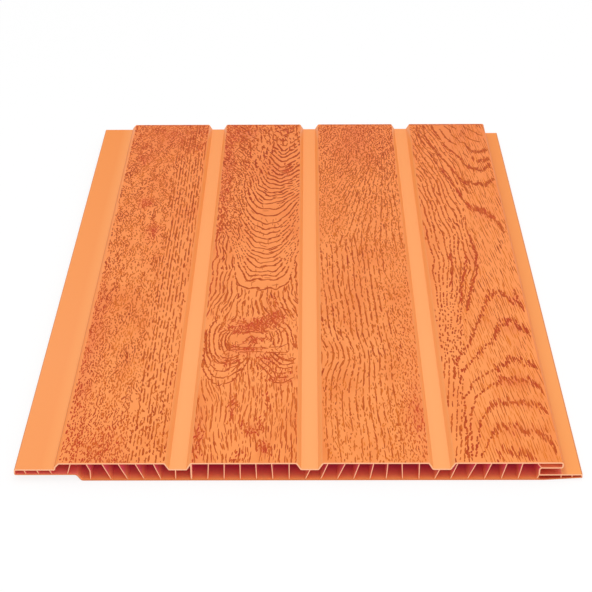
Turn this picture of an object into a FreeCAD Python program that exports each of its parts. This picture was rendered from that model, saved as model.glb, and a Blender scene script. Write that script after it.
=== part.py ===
# Hollow PVC wall panel: one extrusion with four wide lands, three moulded grooves between them,
# a thin tongue along its left edge, and a lip, a slot and a fixing flange along its right edge.
# X runs across the panel, Y along the extrusion and Z up from the back face to the show face.
# Across the panel, the section is measured from the tongue's tip.
import FreeCAD, Part
import os
import Sketcher

LAND_WEB_COUNTS = (4, 7, 7, 5)
LAND_COUNT = len(LAND_WEB_COUNTS)
TONGUE_RIB_COUNT = 3
FLANGE_RIB_COUNT = 2
SAME_PLACE = 1e-4  # two points closer than this are one corner

SIZES = [
    ("panel_length", 400.0, "length of the cut panel"),
    ("panel_thickness", 10.0, "back face to show face"),
    ("land_pitch", 62.5, "one land and one groove"),
    ("groove_floor", 7.9, "flat floor of a groove"),
    ("groove_slope", 2.1, "run of each sloping side of a groove"),
    ("groove_depth", 3.5, "show face to groove floor"),
    ("skin", 0.6, "outer wall all round the section"),
    ("web", 0.4, "inner webs, measured across the panel"),
    ("stout_web", 0.7, "the one under the second land's left edge"),
    ("land_edge_radius", 1.2, "rounding where a land turns down into a groove"),
    ("groove_foot_radius", 0.4, "rounding at the foot of a groove's sides"),
    ("tongue_reach", 19.2, "tongue tip to the foot of the first land's side"),
    ("tongue_thickness", 3.2, "the tongue, over both of its walls"),
    ("tongue_tip_radius", 0.9, "rounding of the tongue's tip"),
    ("riser_upright", 1.1, "upright foot of the first land's side"),
    ("joint_clearance", 0.1, "gap above and below a tongue in the slot"),
    ("joint_end_gap", 0.9, "gap between a tongue's tip and the slot's back"),
    ("joint_floor", 9.2, "tongue left showing between two joined panels"),
    ("slot_radius", 0.9, "rounding at the slot's upper back corner"),
    ("relief_width", 29.5, "raised part of the back face, from the tongue's tip"),
    ("relief_slope", 2.2, "run of the step where the raised part ends"),
    ("relief_radius", 2.0, "rounding at both ends of that step"),
    ("flange_reach", 20.2, "slot's back to the fixing flange's tip"),
    ("flange_taper", 18.0, "length of the flange's tapered underside"),
    ("flange_lift", 1.2, "height of the flange's underside at its tip"),
    ("tongue_rib_first_head", 4.7, "first tongue rib at its top, from the tip"),
    ("tongue_rib_last_head", 2.3, "last tongue rib at its top, from the first land's foot"),
    ("tongue_rib_lean", 1.2, "how far a tongue rib's foot stands right of its head"),
    ("flange_rib_first", 10.1, "first flange rib from the slot's back"),
    ("flange_rib_pitch", 5.2, "spacing of the flange ribs"),
    ("relief_web_head", 2.4, "web over the raised back, at the top, from that part's end"),
    ("relief_web_lean", 1.8, "how far that web's foot stands left of its head"),
    ("step_web_head", 13.2, "web beside the step, at the top, from the land's edge"),
    ("step_web_foot", 4.5, "the same web's foot, from the end of the step"),
    ("step_web_knee", 5.6, "height of the bend in that web, from the back face"),
    ("lip_web_head", 1.5, "lip's slanting web, at the top, left of the slot's back"),
    ("lip_web_foot", 0.6, "the same web's foot, right of the slot's back"),
    ("flange_web_foot", 1.5, "foot of the web under the slot, left of the slot's back"),
]

# The webs of each land fan out between a first and a last one. They are placed from the edges of
# their own land: heads under the show face, feet on the back face. The feet stand at even steps,
# and so do the heads, apart from the first and the last step. The name after the land's is the
# thickness of its first web.
WEB_FANS = [
    ("land_1", "web", 20.7, 5.4, 24.9, 1.9, -0.5, 0.5),
    ("land_2", "stout_web", 0.3, 3.7, 0.3, 3.7, 0.8, 0.8),
    ("land_3", "web", 2.6, 4.7, -1.0, 4.7, 1.5, 1.5),
    ("land_4", "web", 1.3, 18.4, -2.0, 20.4, 1.5, 0.2),
]
for land, first_web, head_in, head_out, foot_in, foot_out, first_more, last_more in WEB_FANS:
    SIZES += [
        (land + "_heads_in", head_in, "first web's head, right of the land's left edge"),
        (land + "_heads_out", head_out, "last web's head, left of the land's right edge"),
        (land + "_feet_in", foot_in, "first web's foot, right of the land's left edge"),
        (land + "_feet_out", foot_out, "last web's foot, left of the land's right edge"),
        (land + "_first_more", first_more, "first step of the heads, over an inner one"),
        (land + "_last_more", last_more, "last step of the heads, over an inner one"),
    ]

# One web stands under each groove, beside the groove's middle.
GROOVE_WEBS = [
    ("groove_1", -1.1, -1.1),
    ("groove_2", 0.2, -2.3),
    ("groove_3", -1.1, -3.5),
]
for groove, head, foot in GROOVE_WEBS:
    SIZES += [
        (groove + "_web_head", head, "web's head, right of the groove's middle"),
        (groove + "_web_foot", foot, "web's foot, right of the groove's middle"),
    ]


class Length:
    """A length in millimetres, with the formula that ties it to the sheet of sizes."""

    def __init__(self, value, formula):
        self.value = value
        self.formula = formula

    def __add__(self, other):
        return Length(self.value + other.value, f"({self.formula} + {other.formula})")

    def __sub__(self, other):
        return Length(self.value - other.value, f"({self.formula} - {other.formula})")

    def __mul__(self, share):
        return Length(self.value * share, f"({self.formula} * {share})")

    def slope(self, run, reach):
        """The height that a straight rise of this height over this run has at this reach."""
        value = self.value * reach.value / run.value
        return Length(value, f"({self.formula} * {reach.formula} / {run.formula})")


def make_sheet(document):
    sheet = document.addObject("Spreadsheet::Sheet", "Sizes")
    for row, (alias, value, meaning) in enumerate(SIZES, start=1):
        sheet.set(f"A{row}", meaning)
        sheet.set(f"B{row}", str(value))
        sheet.setAlias(f"B{row}", alias)
    document.recompute()
    return sheet


def size(alias):
    values = {name: value for name, value, meaning in SIZES}
    return Length(values[alias], f"Sizes.{alias}")


def pin(sketch, line, corner):
    """Ties the start of a line to its place in the section."""
    x, z = corner
    if x is None:
        sketch.addConstraint(Sketcher.Constraint("PointOnObject", line, 1, -2))
    else:
        number = sketch.addConstraint(Sketcher.Constraint("DistanceX", -1, 1, line, 1, x.value))
        sketch.setExpression(f"Constraints[{number}]", x.formula)
    if z is None:
        sketch.addConstraint(Sketcher.Constraint("PointOnObject", line, 1, -1))
    else:
        number = sketch.addConstraint(Sketcher.Constraint("DistanceY", -1, 1, line, 1, z.value))
        sketch.setExpression(f"Constraints[{number}]", z.formula)


def place(corner):
    return FreeCAD.Vector(*(0.0 if part is None else part.value for part in corner), 0.0)


def draw_outline(sketch, corners):
    """Draws a closed outline of straight lines through corners given as (x, z)."""
    first = sketch.GeometryCount
    count = len(corners)
    for number in range(count):
        start = place(corners[number])
        end = place(corners[(number + 1) % count])
        sketch.addGeometry(Part.LineSegment(start, end))
    for number in range(count):
        following = first + (number + 1) % count
        sketch.addConstraint(Sketcher.Constraint("Coincident", first + number, 2, following, 1))
    for number in range(count):
        pin(sketch, first + number, corners[number])


def section_sketch(body, name, outlines):
    sketch = body.newObject("Sketcher::SketchObject", name)
    plane = next(item for item in body.Origin.OriginFeatures if item.Role == "XZ_Plane")
    sketch.AttachmentSupport = [(plane, "")]
    sketch.MapMode = "FlatFace"
    for corners in outlines:
        draw_outline(sketch, corners)
    return sketch


def extrude(body, name, sketch):
    """Runs a section along the whole panel, half of its length each way."""
    pad = body.newObject("PartDesign::Pad", name)
    pad.Profile = sketch
    pad.SideType = "Symmetric"
    pad.setExpression("Length", "Sizes.panel_length")
    pad.Refine = True
    body.Document.recompute()
    return pad


def long_edges(feature, corners):
    """Names the edges that run along the panel through these corners of the section."""
    names = []
    for x, z in corners:
        target = place((x, z))
        for number, edge in enumerate(feature.Shape.Edges, start=1):
            ends = [vertex.Point for vertex in edge.Vertexes]
            away = max(max(abs(end.x - target.x), abs(end.z - target.y)) for end in ends)
            if away < SAME_PLACE:
                names.append(f"Edge{number}")
    if len(names) != len(corners):
        raise ValueError(f"{feature.Name}: {len(names)} edges found for {len(corners)} corners")
    return names


def round_edges(body, name, base, corners, radius):
    fillet = body.newObject("PartDesign::Fillet", name)
    fillet.Base = (base, long_edges(base, corners))
    fillet.setExpression("Radius", f"Sizes.{radius}")
    body.Document.recompute()
    return fillet


def web(head, foot, top, bottom, thickness="web"):
    """Corners of one web. It is rooted in the middle of the skin at both ends."""
    half = size(thickness) * 0.5
    return [(foot - half, bottom), (foot + half, bottom), (head + half, top), (head - half, top)]


def bent_web(head, foot, knee, top, bottom):
    """Corners of a web that slants from its head to a knee and stands upright below the knee."""
    half = size("web") * 0.5
    left = [(foot - half, knee), (foot - half, bottom)]
    right = [(foot + half, bottom), (foot + half, knee)]
    return left + right + [(head + half, top), (head - half, top)]


def even_steps(count, first, last):
    """Places at even steps from the first to the last."""
    return [first + (last - first) * (number / (count - 1)) for number in range(count)]


def head_steps(count, first, last, first_more, last_more):
    """Places at even steps, but with a first and a last step that are longer by so much."""
    inner = even_steps(count, first + first_more, last - last_more)
    return [first] + inner[1:-1] + [last]


def fan(heads, feet, top, bottom, first_web="web"):
    """Webs from each head to its foot, which turn from one lean to the other."""
    webs = []
    for number, (head, foot) in enumerate(zip(heads, feet)):
        webs.append(web(head, foot, top, bottom, first_web if number == 0 else "web"))
    return webs


def build_panel(document):
    body = document.addObject("PartDesign::Body", "wall_panel")
    body.Label = "wall_panel"

    # Levels, from the back face up.
    show_face = size("panel_thickness")
    floor = show_face - size("groove_depth")
    tongue_underside = floor - size("tongue_thickness")
    flange_top = tongue_underside - size("joint_clearance")
    lip_underside = floor + size("joint_clearance")

    # Places across the panel, from the tongue's tip.
    pitch = size("land_pitch")
    cover = pitch * LAND_COUNT
    riser_foot = size("tongue_reach")
    land_left = [
        riser_foot + size("groove_slope") + pitch * number for number in range(LAND_COUNT)
    ]
    land_right = [
        left + pitch - size("groove_slope") * 2 - size("groove_floor") for left in land_left
    ]
    lip_end = riser_foot + cover - size("joint_floor")
    slot_back = cover - size("joint_end_gap")
    flange_tip = slot_back + size("flange_reach")
    taper_start = flange_tip - size("flange_taper")
    step_end = size("relief_width") + size("relief_slope")

    # The outline, clockwise from the tongue's tip over the show face and back underneath.
    tongue_tip = [(None, tongue_underside), (None, floor)]
    riser = [
        (riser_foot, floor),
        (riser_foot, floor + size("riser_upright")),
        (land_left[0], show_face),
    ]
    grooves = []
    for left, right in zip(land_right[:-1], land_left[1:]):
        grooves += [
            (left, show_face),
            (left + size("groove_slope"), floor),
            (right - size("groove_slope"), floor),
            (right, show_face),
        ]
    lip_nose = [(lip_end, show_face), (lip_end, lip_underside)]
    slot = [(slot_back, lip_underside), (slot_back, flange_top)]
    flange = [
        (flange_tip, flange_top),
        (flange_tip, size("flange_lift")),
        (taper_start, None),
    ]
    step = [(step_end, None), (size("relief_width"), tongue_underside)]
    outline = tongue_tip + riser + grooves + lip_nose + slot + flange + step

    blank = extrude(body, "solid_blank", section_sketch(body, "outline_section", [outline]))

    land_edges = [riser[2]] + [corner for corner in grooves if corner[1] is show_face]
    groove_feet = [riser[0]] + [corner for corner in grooves if corner[1] is floor]
    rounded = round_edges(body, "land_edges", blank, land_edges, "land_edge_radius")
    rounded = round_edges(body, "groove_feet", rounded, groove_feet, "groove_foot_radius")
    rounded = round_edges(body, "tongue_tip", rounded, tongue_tip, "tongue_tip_radius")
    rounded = round_edges(body, "lip_nose", rounded, lip_nose, "land_edge_radius")
    rounded = round_edges(body, "slot_corner", rounded, slot[:1], "slot_radius")
    rounded = round_edges(body, "back_step", rounded, step, "relief_radius")

    # The hollow: the rounded blank is thinned to a skin that is open at both sawn ends.
    hollow = body.newObject("PartDesign::Thickness", "hollow")
    ends = [
        f"Face{number}"
        for number, face in enumerate(rounded.Shape.Faces, start=1)
        if abs(face.normalAt(0, 0).y) > 1 - SAME_PLACE
    ]
    hollow.Base = (rounded, ends)
    hollow.Reversed = True
    hollow.Join = "Intersection"
    hollow.setExpression("Value", "Sizes.skin")
    document.recompute()

    # The webs of each land, between its two skins.
    half_skin = size("skin") * 0.5
    top = show_face - half_skin
    bottom = half_skin
    for row, count, left, right in zip(WEB_FANS, LAND_WEB_COUNTS, land_left, land_right):
        land, first_web = row[:2]
        heads = head_steps(
            count,
            left + size(land + "_heads_in"),
            right - size(land + "_heads_out"),
            size(land + "_first_more"),
            size(land + "_last_more"),
        )
        feet = even_steps(
            count, left + size(land + "_feet_in"), right - size(land + "_feet_out")
        )
        webs = fan(heads, feet, top, bottom, first_web)
        extrude(body, f"{land}_webs", section_sketch(body, f"{land}_web_section", webs))

    # The webs under the grooves.
    webs = []
    for row, left, right in zip(GROOVE_WEBS, land_right, land_left[1:]):
        groove = row[0]
        middle = (left + right) * 0.5
        head = middle + size(groove + "_web_head")
        foot = middle + size(groove + "_web_foot")
        webs.append(web(head, foot, floor - half_skin, bottom))
    extrude(body, "groove_webs", section_sketch(body, "groove_web_section", webs))

    # The two webs near the step of the back face, and the ribs inside the tongue. The web beside
    # the step slants down to a knee and stands upright below it.
    relief_head = size("relief_width") - size("relief_web_head")
    relief_floor = tongue_underside + half_skin
    step_head = land_left[0] + size("step_web_head")
    step_foot = step_end + size("step_web_foot")
    knee = size("step_web_knee")
    first_rib = size("tongue_rib_first_head")
    last_rib = riser_foot - size("tongue_rib_last_head")
    lean = size("tongue_rib_lean")
    webs = [
        web(relief_head, relief_head - size("relief_web_lean"), top, relief_floor),
        bent_web(step_head, step_foot, knee, top, bottom),
    ]
    webs += fan(
        even_steps(TONGUE_RIB_COUNT, first_rib, last_rib),
        even_steps(TONGUE_RIB_COUNT, first_rib + lean, last_rib + lean),
        floor - half_skin,
        relief_floor,
    )
    extrude(body, "tongue_side_webs", section_sketch(body, "tongue_side_web_section", webs))

    # The web that closes the lip, the one that carries on down from the slot's back, and the
    # two upright ribs that hold the flange's tapered walls apart.
    lip_web = web(
        slot_back - size("lip_web_head"),
        slot_back + size("lip_web_foot"),
        top,
        lip_underside + half_skin,
    )
    flange_web = web(
        slot_back - half_skin, slot_back - size("flange_web_foot"), flange_top - half_skin, bottom
    )
    ribs = []
    for number in range(FLANGE_RIB_COUNT):
        middle = slot_back + size("flange_rib_first") + size("flange_rib_pitch") * number
        underside = size("flange_lift").slope(size("flange_taper"), middle - taper_start)
        ribs.append(web(middle, middle, flange_top - half_skin, underside + half_skin))
    webs = [lip_web, flange_web] + ribs
    extrude(body, "slot_side_webs", section_sketch(body, "slot_side_web_section", webs))

    # The panel's middle stands on the origin.
    body.setExpression("Placement.Base.x", f"-{flange_tip.formula} / 2")
    document.recompute()
    return body


def check(document):
    for item in document.Objects:
        if "Invalid" in item.State or "Error" in item.State:
            raise ValueError(f"{item.Name} failed: {item.State}")


def main():
    document = FreeCAD.newDocument("wall_panel_part")
    make_sheet(document)
    panel = build_panel(document)
    check(document)
    shape = panel.Shape
    if shape.isNull() or not shape.isValid() or len(shape.Solids) != 1:
        raise ValueError("the wall panel is not one sound solid")
    os.makedirs("parts", exist_ok=True)
    shape.exportStep(f"parts/{panel.Label}.step")
    box = shape.BoundBox
    print(f"wall_panel {box.XLength:.2f} x {box.YLength:.2f} x {box.ZLength:.2f} mm")
    print(f"volume {shape.Volume:.1f} mm3, {len(shape.Faces)} faces")


main()
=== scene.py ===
# Hollow PVC wall panel with four wood-grain lands, lying on a white floor.
import math

import bpy
import numpy as np
from mathutils import Matrix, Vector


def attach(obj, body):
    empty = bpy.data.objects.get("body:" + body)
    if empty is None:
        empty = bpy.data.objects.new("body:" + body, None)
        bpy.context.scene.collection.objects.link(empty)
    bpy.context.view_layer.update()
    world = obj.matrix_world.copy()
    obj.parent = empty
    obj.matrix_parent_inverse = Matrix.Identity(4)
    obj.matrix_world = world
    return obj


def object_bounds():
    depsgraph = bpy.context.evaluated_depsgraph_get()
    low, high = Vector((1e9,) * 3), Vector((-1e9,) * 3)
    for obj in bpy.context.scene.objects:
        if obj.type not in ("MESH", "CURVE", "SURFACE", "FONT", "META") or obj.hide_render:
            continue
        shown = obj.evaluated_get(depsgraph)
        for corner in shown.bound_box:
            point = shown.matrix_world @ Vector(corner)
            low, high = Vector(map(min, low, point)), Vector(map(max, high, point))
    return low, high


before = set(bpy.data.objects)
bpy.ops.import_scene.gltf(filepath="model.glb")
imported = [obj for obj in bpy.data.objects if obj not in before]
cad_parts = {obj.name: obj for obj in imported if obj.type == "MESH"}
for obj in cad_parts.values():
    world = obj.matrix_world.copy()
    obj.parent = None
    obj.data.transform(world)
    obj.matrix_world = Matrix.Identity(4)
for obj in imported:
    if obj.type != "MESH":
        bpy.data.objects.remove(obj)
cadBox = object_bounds()
mm = 0.001
halfWidth, halfLength, showFace = [round(value / mm, 2) for value in cadBox[1]]
print("frame loaded")

# The CAD section, in millimetres: across from the tongue's tip, and up from the back face.
section = {
    "landPitch": 62.5,
    "landWidth": 50.4,
    "landSide": 2.1,  # run of a land's sloping sides
    "foot": 19.2,  # foot of the first land's left side
    "firstLand": 21.3,  # left edge of the first land
    "grooveFloor": 6.5,
    "raisedBack": 3.3,  # height of the back face under the tongue
    "raisedEnd": 29.5,
    "raisedSlope": 2.2,  # run of the step at that end
    "slotBack": 249.1,
    "slotFloor": 3.2,
    "slotTop": 6.6,
    "lipEnd": 260.0,
    "taperStart": 251.3,  # where the flange's underside starts to rise
    "taperLift": 1.2,
}


def landLeft(number):
    # Left edge of a land, in millimetres from the panel's middle. The lands count from 0 at the left.
    return section["firstLand"] + section["landPitch"] * number - halfWidth


def linear(hexColor):
    # sRGB hex to linear: a straight line near black, a 2.4 power above it.
    parts = [int(hexColor[i:i + 2], 16) / 255 for i in (1, 3, 5)]
    return [p / 12.92 if p <= 0.04045 else ((p + 0.055) / 1.055) ** 2.4 for p in parts] + [1]


def addNode(tree, kind, settings=None, inputs=None):
    # One node with its settings; an input is a value, or the socket that feeds it.
    node = tree.nodes.new(kind)
    for key, value in (settings or {}).items():
        setattr(node, key, value)
    for key, value in (inputs or {}).items():
        if isinstance(value, bpy.types.NodeSocket):
            tree.links.new(value, node.inputs[key])
        else:
            node.inputs[key].default_value = value
    return node


def paintOver(tree, color, coats):
    # The colour under several coats, one over the other. A coat is its own colour, a level, and the soft
    # steps that multiply it: what a step follows, and the millimetres where it starts and where it is full.
    for coat, level, *steps in coats:
        for follows, start, full in steps:
            step = addNode(tree, "ShaderNodeMapRange", None,
                           {"Value": follows, "From Min": start * mm, "From Max": full * mm})
            level = addNode(tree, "ShaderNodeMath", {"operation": "MULTIPLY"},
                            {0: level, 1: step.outputs[0]}).outputs[0]
        mix = addNode(tree, "ShaderNodeMix", {"data_type": "RGBA"}, {0: level, 6: color, 7: coat})
        color = mix.outputs[2]
    return color


def newMaterial(name):
    material = bpy.data.materials.new(name)
    material.use_nodes = True
    material.node_tree.nodes.clear()
    return material, material.node_tree


# Camera: a long lens from above the sawn front end, in millimetres and degrees.
cameraPlace = {
    "place": (6.0, -824.9, 453.3),
    "turn": -0.577,  # to the right of the panel's length
    "down": 29.448,
    "roll": -0.43,
    "focalPixels": 1616.0,
    "framePixels": 592.0,
    "sensor": 36.0,
    "nearest": 50.0,  # nothing closer is drawn
}


def addCamera(c):
    data = bpy.data.cameras.new("photoCamera")
    data.sensor_width = c["sensor"]
    data.lens = c["focalPixels"] / c["framePixels"] * c["sensor"]
    data.clip_start = c["nearest"] * mm
    camera = bpy.data.objects.new("photoCamera", data)
    turn = Matrix.Rotation(-math.radians(c["turn"]), 4, "Z")
    tilt = Matrix.Rotation(math.radians(90 - c["down"]), 4, "X")
    roll = Matrix.Rotation(math.radians(c["roll"]), 4, "Z")
    place = Matrix.Translation([value * mm for value in c["place"]])
    camera.matrix_world = place @ turn @ tilt @ roll
    bpy.context.scene.collection.objects.link(camera)
    bpy.context.scene.camera = camera


# Studio: white world and floor, one large soft lamp overhead and one from the front, in metres.
studio = {
    "worldLevel": 0.75,
    "floorReach": 6.0,
    "floorWhite": 0.98,
    "floorGlow": 0.84,  # share of plain white in what the camera sees of the floor
    "keyPower": 11.0,
    "keySize": 1.6,
    "keyPlace": (0.15, -0.2, 1.75),
    "frontPower": 4.0,
    "frontSize": 1.4,
    "frontPlace": (0.5, -1.7, 0.9),
}


def areaLamp(name, place, size, power):
    # A square lamp that points at the middle of the panel.
    data = bpy.data.lights.new(name, "AREA")
    data.size = size
    data.energy = power
    lamp = bpy.data.objects.new(name, data)
    lamp.location = place
    away = lamp.location.normalized()
    lamp.rotation_euler = away.to_track_quat("Z", "Y").to_euler()
    bpy.context.scene.collection.objects.link(lamp)


def seenRays(tree):
    # 1 for rays from the camera, a mirror-like surface or a clear one, 0 for light that bounces.
    rays = addNode(tree, "ShaderNodeLightPath").outputs
    seen = addNode(tree, "ShaderNodeMath", {"operation": "MAXIMUM"},
                   {0: rays["Is Camera Ray"], 1: rays["Is Glossy Ray"]})
    return addNode(tree, "ShaderNodeMath", {"operation": "MAXIMUM"},
                   {0: seen.outputs[0], 1: rays["Is Transmission Ray"]}).outputs[0]


def addStudio(s):
    world = bpy.data.worlds.new("studioWorld")
    world.use_nodes = True
    tree = world.node_tree
    tree.nodes.clear()
    level = addNode(tree, "ShaderNodeMapRange", None,
                    {"Value": seenRays(tree), "To Min": s["worldLevel"], "To Max": 1.0})
    sky = addNode(tree, "ShaderNodeBackground", None,
                  {"Color": (1, 1, 1, 1), "Strength": level.outputs[0]})
    addNode(tree, "ShaderNodeOutputWorld", None, {"Surface": sky.outputs[0]})
    bpy.context.scene.world = world

    # White paper floor: matt, so that it takes the panel's soft shadow. Part of what the camera sees of
    # it is plain white.
    material, tree = newMaterial("whitePaperFloor")
    share = addNode(tree, "ShaderNodeMath", {"operation": "MULTIPLY"},
                    {0: seenRays(tree), 1: s["floorGlow"]})
    tone = s["floorWhite"]
    paper = addNode(tree, "ShaderNodeBsdfDiffuse", None, {"Color": (tone, tone, tone, 1)})
    white = addNode(tree, "ShaderNodeEmission", None, {"Color": (1, 1, 1, 1), "Strength": 1.0})
    both = addNode(tree, "ShaderNodeMixShader", None,
                   {0: share.outputs[0], 1: paper.outputs[0], 2: white.outputs[0]})
    addNode(tree, "ShaderNodeOutputMaterial", None, {"Surface": both.outputs[0]})
    reach = s["floorReach"]
    mesh = bpy.data.meshes.new("floor")
    corners = [(-reach, -reach, 0), (reach, -reach, 0), (reach, reach, 0), (-reach, reach, 0)]
    mesh.from_pydata(corners, [], [(0, 1, 2, 3)])
    mesh.materials.append(material)
    floor = bpy.data.objects.new("floor", mesh)
    bpy.context.scene.collection.objects.link(floor)

    areaLamp("softKey", s["keyPlace"], s["keySize"], s["keyPower"])
    areaLamp("softFront", s["frontPlace"], s["frontSize"], s["frontPower"])


# Rigid PVC, extruded: dense and orange all through. It gives the eye a broad soft gloss, faint lines that
# the die draws along the panel, and pale edges where it was sawn. The printed lands are a little deeper
# in tone than the grooves, and the tongue and flange lie between the two. Lengths are in millimetres.
pvc = {
    "groove": "#F8A662",
    "joint": "#F39651",  # tongue
    "flange": "#F59D51",  # fixing flange clear of the lip: painted light, lighter than the tongue's tone, which stays beside the lip
    "byFoot": "#FBB069",  # the tongue's face is lighter towards the first land
    "byFootReach": 7.0,
    "byFootShare": 0.43,
    "land": "#F59148",
    "far": "#EE8300",  # everything deepens a little towards the back end
    "farGroove": 0.42,
    "farJoint": 0.62,
    "farLand": "#EA781A",
    "farLandShare": 0.7,
    "slopeShade": "#E08038",  # painted shade down each land's right slope, the side turned away from the light
    "slopeShadeShare": 0.3,
    "slope": "#F99447",  # painted shade on the first land's left slope
    "creaseShade": "#DA8242",  # painted shade: a thin dark line along that slope's foot and along the two outer edges
    "shadeBesideLip": 0.4,  # how much of that painted shade the flange has beside the lip
    "lip": "#E57C2D",  # painted shade on the lip's edge
    "cloud": "#E06A14",  # soft patches in the printed ground of the lands
    "cloudNoise": (0.45, 0.75, 0.0, 0.6),  # noise where a patch starts and is full, and its share there
    "cloudSize": 22.0,  # width of a patch
    "cloudStretch": 0.45,  # that width as a share of its length along the panel
    "stain": "#D4501F",  # reddish clouds in the same ground
    "stainNoise": (0.3, 0.6, 0.5, 1.3),  # the noise breaks them up, to between half and 1.3 times as strong
    "sawn": "#FFBC90",  # bare plastic at the cut ends
    "sawnLowShade": "#D9793F",  # the same, darker with painted shade, on the lower skin
    "lowSkin": (0.2, 1.2),  # heights in that skin between which the one turns into the other
    "mouth": "#FFA25C",  # the cells' walls at their open end
    "deep": "#F0557C",  # and further in, where light reaches them from wall to wall only
    "mouthDepth": 12.0,
    "deepHeights": (1.5, 5.0),  # the cells' walls take on the deep tone between these heights
    "upperDeep": 0.8,  # and have this much of it above them, at the mouth too
    "lipDeep": 0.35,  # and how much of it is left in the hollow lip
    "shade": "#E2684A",  # the slot, deep under the lip
    "thin": "#D8583C",  # painted shade: the flat cells in the flange
    "glowThroughSkin": 0.022,  # painted light: the cells' walls glow a little, in place of daylight that comes in through the thin skin
    "intoShowSkin": 0.45,  # the walls' tones start inside the skin, under the outer face
    "intoBackSkin": 0.35,
    "roughness": 0.42,
    "ior": 1.53,
    "specular": 0.22,
    "dieLines": 0.8,  # width of the die's lines
    "dieStretch": 0.004,  # that width as a share of their length
    "dieDepth": 0.05,
    "dieStrength": 0.12,
}


# Reddish clouds in the ground under the print: the land's number, counted from 0 at the left, place
# across and along it, reach across and along in millimetres, and strength.
stains = (
    (0, 3, 90, 13, 130, 0.45), (0, 18, 10, 28, 40, 0.4), (0, 17, 278, 8, 15, 0.4), (0, 25, 240, 7, 22, 0.3),
    (0, 30, 385, 32, 34, 0.3), (0, 12, 344, 10, 26, 0.3),
    (1, 3, 335, 9, 120, 0.35), (1, 12, 385, 18, 26, 0.4), (1, 27, 128, 20, 13, 0.7),
    (1, 38, 137, 10, 18, 0.7), (1, 26, 112, 9, 12, 0.5), (1, 24, 102, 18, 10, 0.6), (1, 14, 92, 10, 9, 0.4),
    (1, 35, 92, 12, 13, 0.5), (1, 42, 74, 10, 12, 0.4), (1, 28, 28, 9, 14, 0.5), (1, 18, 50, 4, 22, 0.5),
    (1, 2, 20, 7, 44, 0.5), (1, 34, 13, 7, 12, 0.5), (1, 42, 322, 12, 24, 0.3),
    (2, 25, 385, 44, 90, 0.25), (2, 48, 40, 9, 70, 0.35),
    (3, 36, 390, 32, 70, 0.4), (3, 38, 262, 13, 18, 0.5), (3, 27, 200, 7, 40, 0.4), (3, 36, 71, 20, 11, 0.4),
    (3, 36, 50, 20, 10, 0.3), (3, 36, 27, 20, 11, 0.4), (3, 41, 125, 12, 14, 0.3), (3, 46, 158, 8, 18, 0.5),
)


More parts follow.
